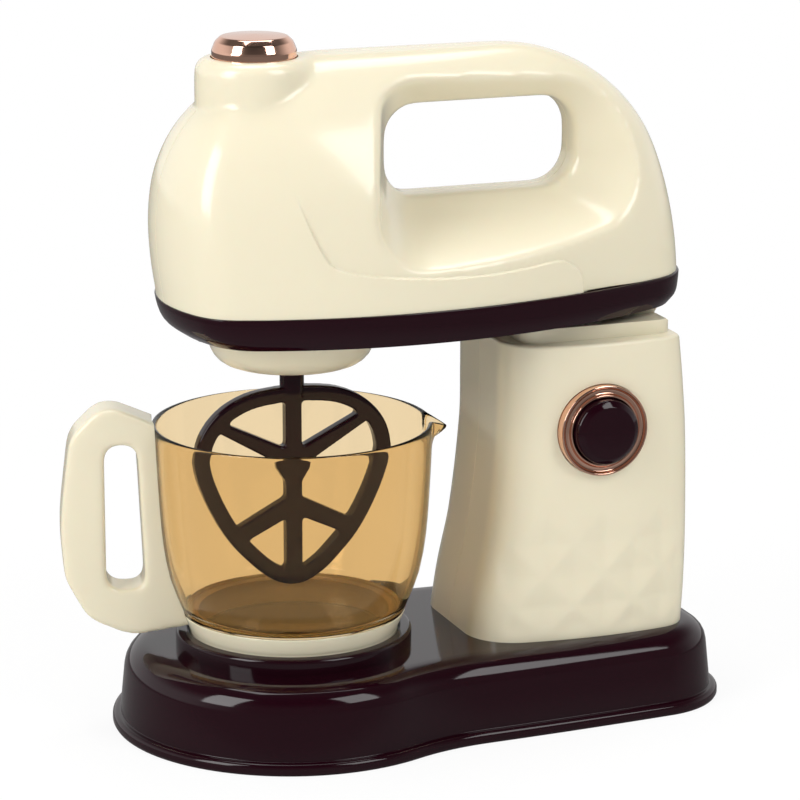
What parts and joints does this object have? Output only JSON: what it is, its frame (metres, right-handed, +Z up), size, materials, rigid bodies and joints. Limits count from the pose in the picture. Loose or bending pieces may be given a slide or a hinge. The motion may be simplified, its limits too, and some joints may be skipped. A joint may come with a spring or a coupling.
{
  "type": "toy stand mixer",
  "caption": "Toy stand mixer with a tilting head, a hand opening, a flat beater, a measuring bowl with a handle and a round-ended base.",
  "frame": {"origin": "on the flat underside of the base, at the middle of the base's length and width", "axes": "+X from the bowl to the column, -Y is the mixer's left side with the side button, +Z up"},
  "size_m": [0.2143, 0.118, 0.2239],
  "materials": {
    "cream": "satin",
    "maroon": "gloss",
    "amber": "gloss",
    "copper": "polished",
    "white_plastic": "matte",
    "black_plastic": "matte",
    "steel": "satin",
    "cell": "satin",
    "wire": "satin"
  },
  "bodies": {
    "stand": {"base_shell": "maroon", "base_cover": "black_plastic", "cover_screws": "steel", "battery_box": "white_plastic", "batteries": "cell", "battery_contacts": "steel", "battery_springs": "steel", "battery_door": "black_plastic", "door_screw": "steel", "column_shell_left": "cream", "column_shell_right": "cream", "column_screws": "steel", "column_foot_screws": "steel", "hinge_bracket": "cream", "hinge_pin": "steel", "switch_bezel": "copper", "side_button_spring": "steel", "side_switch": "black_plastic", "switch_bracket": "white_plastic", "column_wire": "wire"},
    "side_button_body": {"side_button": "maroon"},
    "head": {"head_shell_left": "cream", "head_shell_right": "cream", "skirt_left": "maroon", "skirt_right": "maroon", "boss_cover": "cream", "head_screws": "steel", "boss_screws": "steel", "gearbox_plate": "white_plastic", "gearbox_cover": "white_plastic", "gearbox_screws": "steel", "motor_can": "steel", "motor_cap": "white_plastic", "gear_pins": "steel", "spindle_bush": "white_plastic", "hinge_bushes": "white_plastic", "top_button_spring": "steel", "top_switch": "black_plastic", "top_switch_bracket": "white_plastic", "head_wire": "wire"},
    "motor_rotor": {"motor_shaft": "steel", "motor_pinion": "white_plastic"},
    "first_wheel": {"first_gear": "white_plastic"},
    "second_wheel": {"second_gear": "white_plastic"},
    "beater_set": {"beater": "maroon", "spindle": "steel", "output_gear": "white_plastic", "spindle_clip": "steel"},
    "top_button_body": {"top_button": "copper"},
    "bowl_body": {"bowl": "amber", "bowl_handle": "cream", "bowl_foot_ring": "cream"}
  },
  "joints": [
    {"name": "head_tilt", "type": "hinge", "parent": "stand", "child": "head", "pos_m": [0.077, 0, 0.1335], "axis": [0, 1, 0], "range_deg": [0, 35]},
    {"name": "beater_spin", "type": "hinge", "parent": "head", "child": "beater_set", "pos_m": [-0.041, 0, 0.139], "axis": [0, 0, 1], "continuous": true},
    {"name": "second_gear_spin", "type": "hinge", "parent": "head", "child": "second_wheel", "pos_m": [-0.0266, 0, 0.139], "axis": [0, 0, 1], "continuous": true},
    {"name": "first_gear_spin", "type": "hinge", "parent": "head", "child": "first_wheel", "pos_m": [-0.0338, 0.01247, 0.139], "axis": [0, 0, 1], "continuous": true},
    {"name": "motor_spin", "type": "hinge", "parent": "head", "child": "motor_rotor", "pos_m": [-0.0482, 0.01247, 0.139], "axis": [0, 0, 1], "continuous": true},
    {"name": "side_button_press", "type": "slide", "parent": "stand", "child": "side_button_body", "axis": [0, 1, 0], "range_m": [0, 0.0025], "stiffness_N_per_m": 300, "springref_m": -0.002, "deforming": ["side_button_spring"]},
    {"name": "top_button_press", "type": "slide", "parent": "head", "child": "top_button_body", "axis": [0, 0, -1], "range_m": [0, 0.003], "stiffness_N_per_m": 300, "springref_m": -0.002, "deforming": ["top_button_spring"]},
    {"name": "bowl_lift", "type": "slide", "parent": "stand", "child": "bowl_body", "axis": [0, 0, 1], "range_m": [0, 0.005]}
  ],
  "couplings": [
    {"joint": "second_gear_spin", "follows": "beater_spin", "ratio": -3},
    {"joint": "first_gear_spin", "follows": "beater_spin", "ratio": 9},
    {"joint": "motor_spin", "follows": "beater_spin", "ratio": -27}
  ]
}
